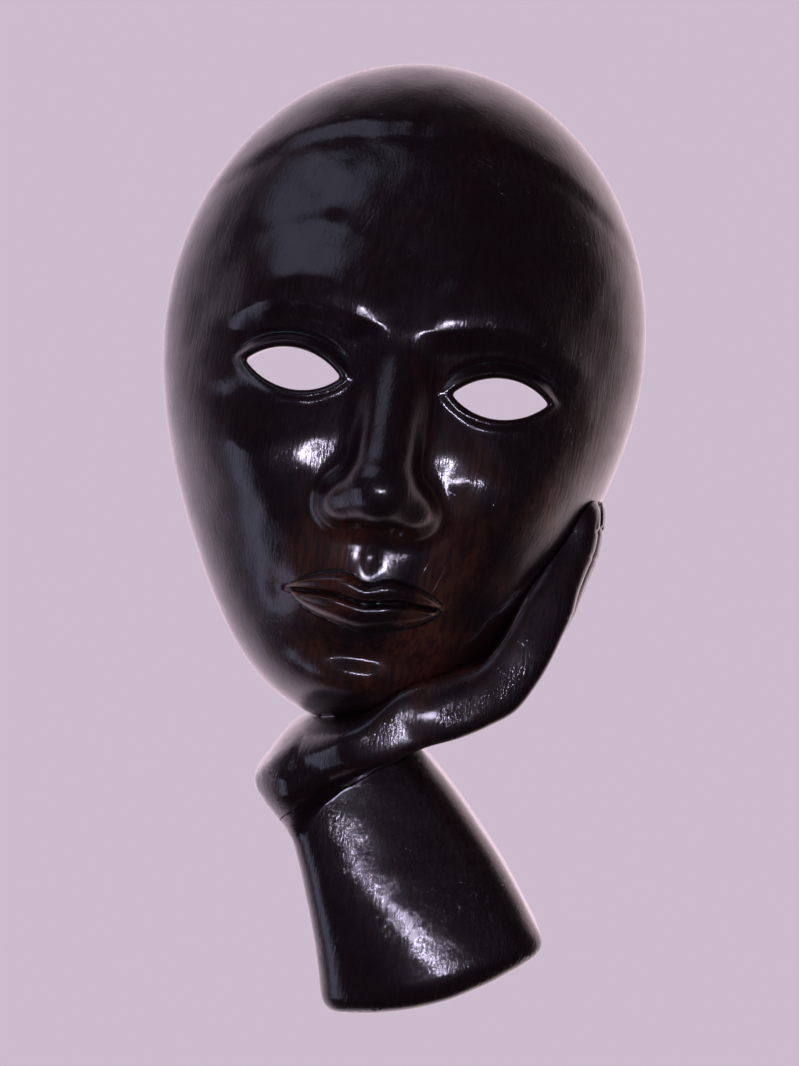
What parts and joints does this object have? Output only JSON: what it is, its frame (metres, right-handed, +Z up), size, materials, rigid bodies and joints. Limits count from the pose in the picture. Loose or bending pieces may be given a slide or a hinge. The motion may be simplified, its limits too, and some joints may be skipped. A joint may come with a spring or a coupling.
{
  "type": "carved wall mask",
  "caption": "Hollow carved hardwood wall mask: a calm face whose chin rests in a cupped hand on a flared forearm, with a swinging ring hanger let into the back.",
  "frame": {"origin": "the point on the wall where the hook carries the hanger's ring, at the inside of the ring's top, in the plane of the wall", "axes": "+Z up, +Y into the wall, so the face looks along -Y, +X to the viewer's right"},
  "size_m": [0.1808, 0.091, 0.3505],
  "materials": {
    "dark_wood": "dark stain under a hand-rubbed gloss polish",
    "dowel_wood": "plain turned dowel",
    "plated_steel": "nickel-plated sheet and screw",
    "ring_brass": "brass-plated wire, slightly tarnished"
  },
  "bodies": {
    "carving": {"face_shell": "dark_wood", "hand": "dark_wood", "forearm": "dark_wood", "chin_dowel_left": "dowel_wood", "chin_dowel_right": "dowel_wood", "jaw_dowel": "dowel_wood", "wrist_dowel_left": "dowel_wood", "wrist_dowel_right": "dowel_wood", "hanger_strap": "plated_steel", "hanger_screw": "plated_steel"},
    "ring": {"hanger_ring": "ring_brass"}
  },
  "joints": [
    {"name": "ring_swing", "type": "hinge", "parent": "carving", "child": "ring", "pos_m": [0, -0.00314, -0.012], "axis": [-1, 0, 0], "range_deg": [0, 170]}
  ]
}
